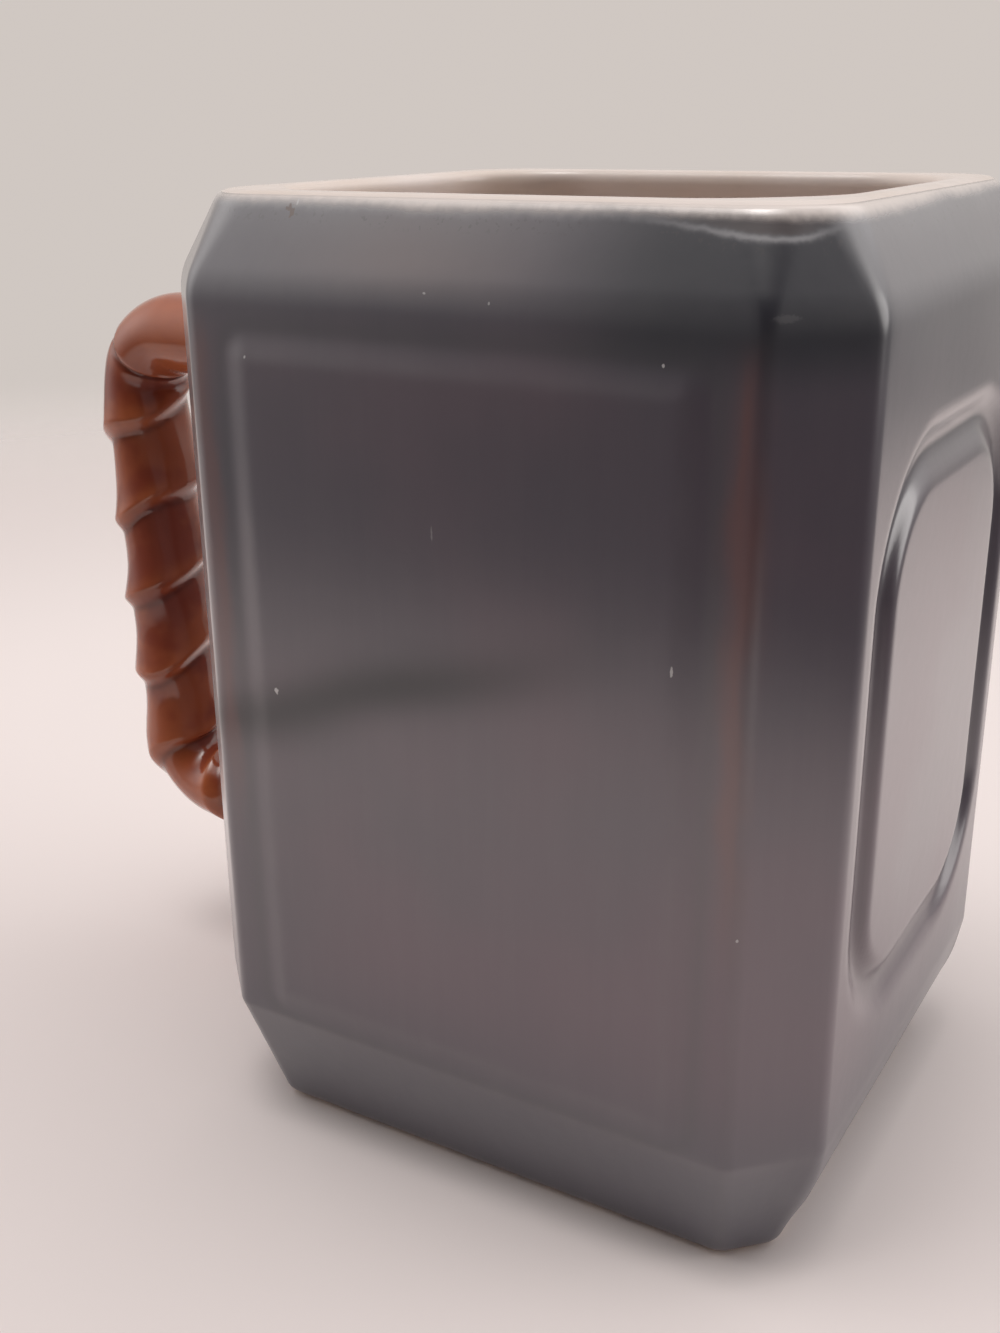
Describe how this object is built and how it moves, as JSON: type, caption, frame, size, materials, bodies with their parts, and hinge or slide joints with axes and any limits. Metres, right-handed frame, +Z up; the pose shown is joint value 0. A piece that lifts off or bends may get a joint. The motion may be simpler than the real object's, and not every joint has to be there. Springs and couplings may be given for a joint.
{
  "type": "novelty mug",
  "caption": "Square block-shaped drinking mug with bevelled edges, framed faces and a strap-bound loop handle; holds a hot drink and stands on its foot ring.",
  "frame": {"origin": "on the standing plane, under the middle of the whole length and width, handle included", "axes": "+Z up, +X from the handle towards the far wall with the framed pad, +Y from the front panel to the back panel"},
  "size_m": [0.1228, 0.076, 0.115],
  "materials": {
    "grey_lustre_glaze": "satin metallic lustre glaze over cast stoneware",
    "cream_liner_glaze": "gloss cream liner glaze",
    "brown_handle_glaze": "gloss translucent red-brown glaze that pools dark in the relief",
    "joint_slip": "gloss, fired slip under the handle's glaze"
  },
  "bodies": {
    "root": {"body_shell": "grey_lustre_glaze", "liner_glaze": "cream_liner_glaze", "handle": "brown_handle_glaze", "upper_handle_joint": "joint_slip", "lower_handle_joint": "joint_slip"}
  },
  "joints": []
}
